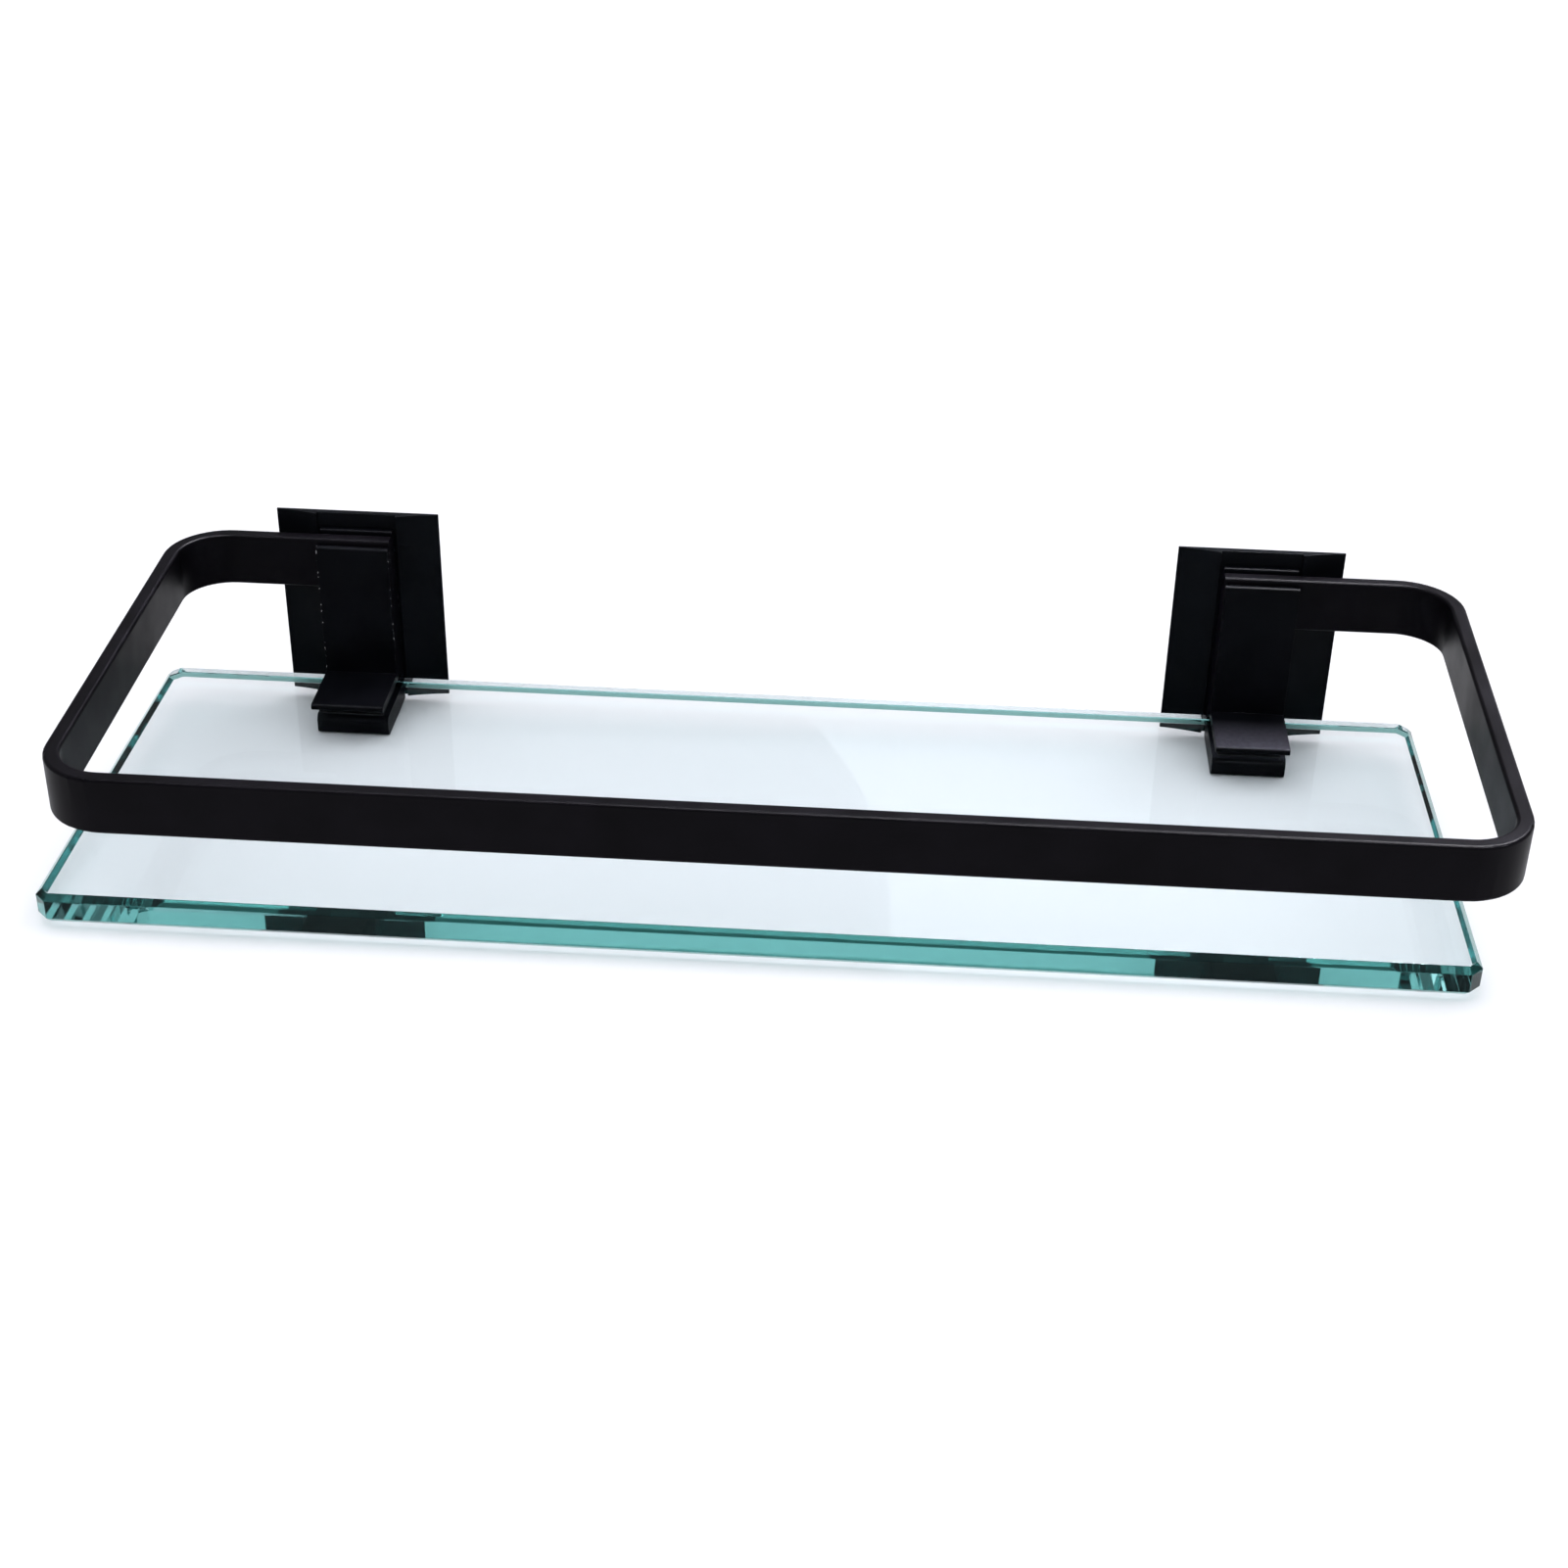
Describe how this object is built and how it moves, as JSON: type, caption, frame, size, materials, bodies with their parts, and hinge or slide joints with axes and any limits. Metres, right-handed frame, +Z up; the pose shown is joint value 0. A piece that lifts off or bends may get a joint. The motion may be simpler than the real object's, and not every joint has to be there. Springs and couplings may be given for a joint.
{
  "type": "wall shelf with brackets",
  "caption": "Glass wall shelf held by black clips on wall plates, with a flat guard rail looped around the front and ends.",
  "frame": {"origin": "centre of the four wall fixings, on the wall plane", "axes": "+X along the shelf to the right as seen from the room, +Y into the wall, +Z up"},
  "size_m": [0.3564, 0.1659, 0.0622],
  "materials": {
    "black_aluminium": "satin black anodised, bead blasted",
    "black_rail": "satin black anodised bar",
    "glass": "clear tempered float glass, polished edges",
    "stainless_steel": "pressed stainless sheet",
    "zinc_steel": "bright zinc plated",
    "black_steel": "black oxide",
    "black_rubber": "thin black rubber sheet",
    "nylon": "natural nylon"
  },
  "bodies": {
    "wall_fixings": {"wing_plate_left": "black_aluminium", "wing_plate_right": "black_aluminium", "wall_cleat_left": "stainless_steel", "wall_cleat_right": "stainless_steel", "wall_screws_left": "zinc_steel", "wall_screws_right": "zinc_steel"},
    "shelf_frame": {"guard_rail": "black_rail", "glass_clip_left": "black_aluminium", "glass_clip_right": "black_aluminium", "rail_screws_left": "zinc_steel", "rail_screws_right": "zinc_steel", "upper_pad_left": "black_rubber", "upper_pad_right": "black_rubber", "lower_pad_left": "black_rubber", "lower_pad_right": "black_rubber", "pressure_disc_left": "nylon", "pressure_disc_right": "nylon", "clamp_screw_left": "black_steel", "clamp_screw_right": "black_steel"},
    "pane": {"glass_pane": "glass"}
  },
  "joints": [
    {"name": "shelf_lift", "type": "slide", "parent": "wall_fixings", "child": "shelf_frame", "axis": [0, 0, 1], "range_m": [0, 0.04]},
    {"name": "glass_slide", "type": "slide", "parent": "shelf_frame", "child": "pane", "axis": [0, -1, 0], "range_m": [0, 0.02]}
  ]
}
